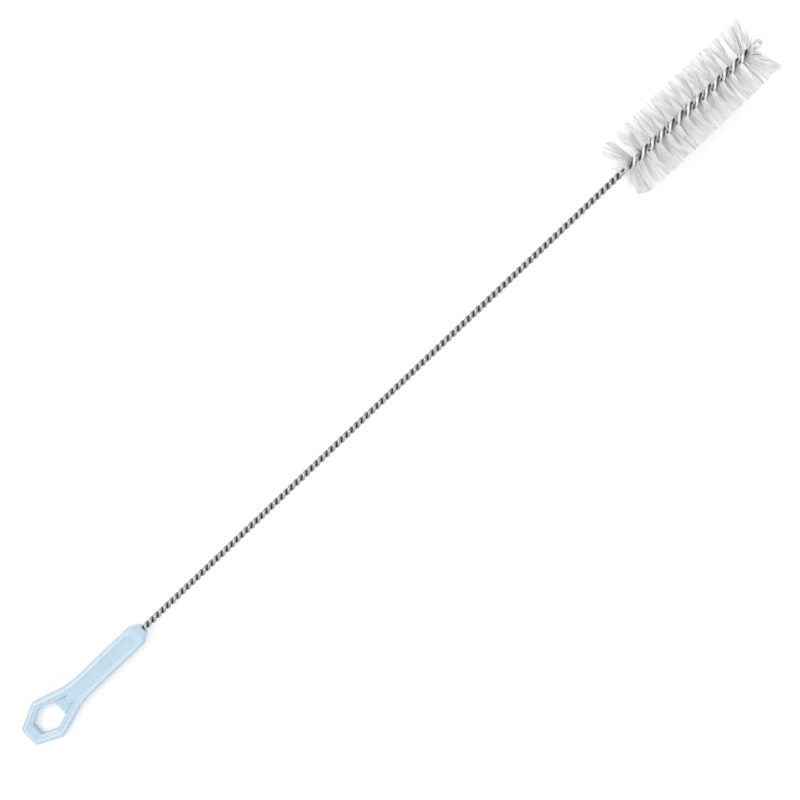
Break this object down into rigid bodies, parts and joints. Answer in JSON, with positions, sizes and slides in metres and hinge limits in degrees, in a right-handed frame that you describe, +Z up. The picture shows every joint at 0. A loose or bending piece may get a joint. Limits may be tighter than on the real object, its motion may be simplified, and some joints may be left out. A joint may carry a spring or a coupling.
{
  "type": "bottle brush",
  "caption": "Bottle brush with a moulded handle and hexagonal hanging ring, a twisted wire stem that folds into a loop at the tip, and a round head of filaments gripped between the strands.",
  "frame": {"origin": "under the middle of the overall length, on the surface that the brush lies on", "axes": "+X along the brush from the handle to the tip loop, +Z up, +Y across"},
  "size_m": [0.455, 0.03, 0.0322],
  "materials": {
    "handle_plastic": "pale blue moulded plastic, satin, slightly translucent",
    "wire_steel": "bright drawn steel wire",
    "filament_nylon": "fine white nylon filaments, slightly translucent"
  },
  "bodies": {
    "root": {"handle": "handle_plastic", "wire": "wire_steel", "bristles": "filament_nylon"}
  },
  "joints": []
}
